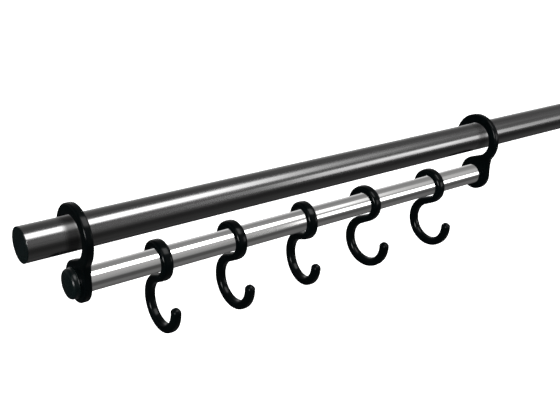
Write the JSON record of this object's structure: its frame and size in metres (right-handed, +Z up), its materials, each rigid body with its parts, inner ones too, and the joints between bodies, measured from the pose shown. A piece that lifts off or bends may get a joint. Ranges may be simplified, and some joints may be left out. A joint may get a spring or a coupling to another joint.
{
  "type": "wall hook rack",
  "caption": "Hook rack: two black hangers hook over a dark bar and carry a thinner bright rail, on which black S hooks slide.",
  "frame": {"origin": "centre of the bar's left end face", "axes": "+X along the bar to the right, +Y to the back, away from the user, +Z up"},
  "size_m": [0.68, 0.0555, 0.1271],
  "materials": {
    "bar_metal": "dark gunmetal, polished",
    "rail_metal": "bright polished",
    "black_plastic": "glossy black",
    "plug_plastic": "satin black, slightly green"
  },
  "bodies": {
    "bar": {"bar_tube": "bar_metal", "bar_left_plug": "plug_plastic", "bar_right_plug": "plug_plastic"},
    "left_hanger": {"left_hanger": "black_plastic"},
    "right_hanger": {"right_hanger": "black_plastic"},
    "rail": {"rail_tube": "rail_metal", "rail_left_cap": "plug_plastic", "rail_right_cap": "plug_plastic"},
    "hook_1": {"hook_1": "black_plastic"},
    "hook_2": {"hook_2": "black_plastic"},
    "hook_3": {"hook_3": "black_plastic"},
    "hook_4": {"hook_4": "black_plastic"},
    "hook_5": {"hook_5": "black_plastic"}
  },
  "joints": [
    {"name": "left_hanger_swing", "type": "hinge", "parent": "bar", "child": "left_hanger", "pos_m": [0.0422, -0.0013, -0.00281], "axis": [1, 0, 0], "range_deg": [-40, 40]},
    {"name": "right_hanger_swing", "type": "hinge", "parent": "bar", "child": "right_hanger", "pos_m": [0.4967, -0.0013, -0.00281], "axis": [1, 0, 0], "range_deg": [-40, 40]},
    {"name": "rail_turn", "type": "hinge", "parent": "left_hanger", "child": "rail", "pos_m": [0.0422, 0, -0.0407], "axis": [1, 0, 0], "range_deg": [-30, 30]},
    {"name": "hook_1_slide", "type": "slide", "parent": "rail", "child": "hook_1", "axis": [1, 0, 0], "range_m": [-0.03, 0.03]},
    {"name": "hook_2_slide", "type": "slide", "parent": "rail", "child": "hook_2", "axis": [1, 0, 0], "range_m": [-0.03, 0.03]},
    {"name": "hook_3_slide", "type": "slide", "parent": "rail", "child": "hook_3", "axis": [1, 0, 0], "range_m": [-0.03, 0.03]},
    {"name": "hook_4_slide", "type": "slide", "parent": "rail", "child": "hook_4", "axis": [1, 0, 0], "range_m": [-0.03, 0.03]},
    {"name": "hook_5_slide", "type": "slide", "parent": "rail", "child": "hook_5", "axis": [1, 0, 0], "range_m": [-0.03, 0.03]}
  ],
  "couplings": [
    {"joint": "right_hanger_swing", "follows": "left_hanger_swing", "ratio": 1}
  ]
}
